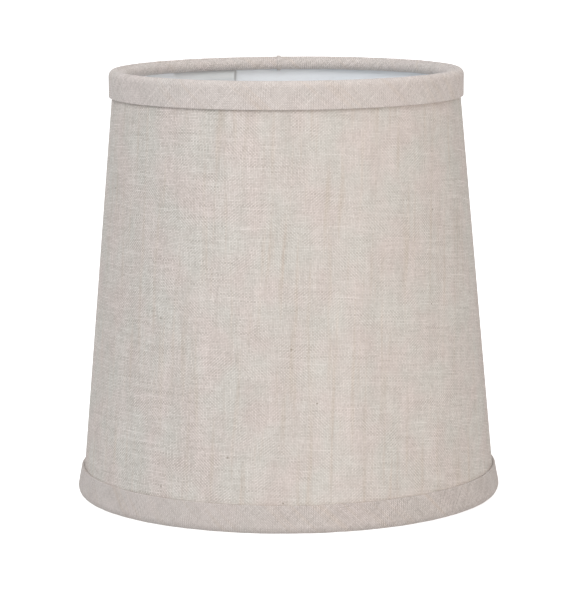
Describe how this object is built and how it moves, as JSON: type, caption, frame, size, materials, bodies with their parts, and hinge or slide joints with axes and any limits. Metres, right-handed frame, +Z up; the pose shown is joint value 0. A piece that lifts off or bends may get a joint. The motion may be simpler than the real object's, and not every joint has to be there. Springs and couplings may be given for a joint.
{
  "type": "lamp shade",
  "caption": "Small tapered drum lamp shade in linen on a styrene liner, with folded bias trims, wire rings and a sprung bulb clip.",
  "frame": {"origin": "centre of the bottom rim, on the plane that the shade stands on", "axes": "+Z up along the shade's axis, -Y towards the front, +X to the right along the fitter's crossbar"},
  "size_m": [0.1522, 0.1522, 0.1519],
  "materials": {
    "linen": "plain-woven slubby off-white linen",
    "trim_linen": "the same linen cut on the bias and folded",
    "styrene": "smooth satin white sheet",
    "tape": "translucent double-sided tape",
    "ring_wire": "white powder-coated steel wire",
    "fitter_wire": "white powder-coated steel wire",
    "fitter_plate": "zinc-plated pressed steel",
    "spring_wire": "bright nickel-plated spring wire"
  },
  "bodies": {
    "shade": {"linen_cover": "linen", "styrene_liner": "styrene", "seam_tape": "tape", "top_ring_wire": "ring_wire", "bottom_ring_wire": "ring_wire", "top_trim": "trim_linen", "bottom_trim": "trim_linen", "fitter_crossbar": "fitter_wire", "clip_saddle": "fitter_plate"},
    "front_jaw": {"clip_loop_front": "spring_wire"},
    "rear_jaw": {"clip_loop_rear": "spring_wire"}
  },
  "joints": [
    {"name": "front_loop_spring", "type": "hinge", "parent": "shade", "child": "front_jaw", "pos_m": [0, -0.0031, 0.1326], "axis": [-1, 0, 0], "range_deg": [-3, 12], "stiffness_Nm_per_rad": 0.5},
    {"name": "rear_loop_spring", "type": "hinge", "parent": "shade", "child": "rear_jaw", "pos_m": [0, 0.0031, 0.1326], "axis": [1, 0, 0], "range_deg": [-3, 12], "stiffness_Nm_per_rad": 0.5}
  ]
}
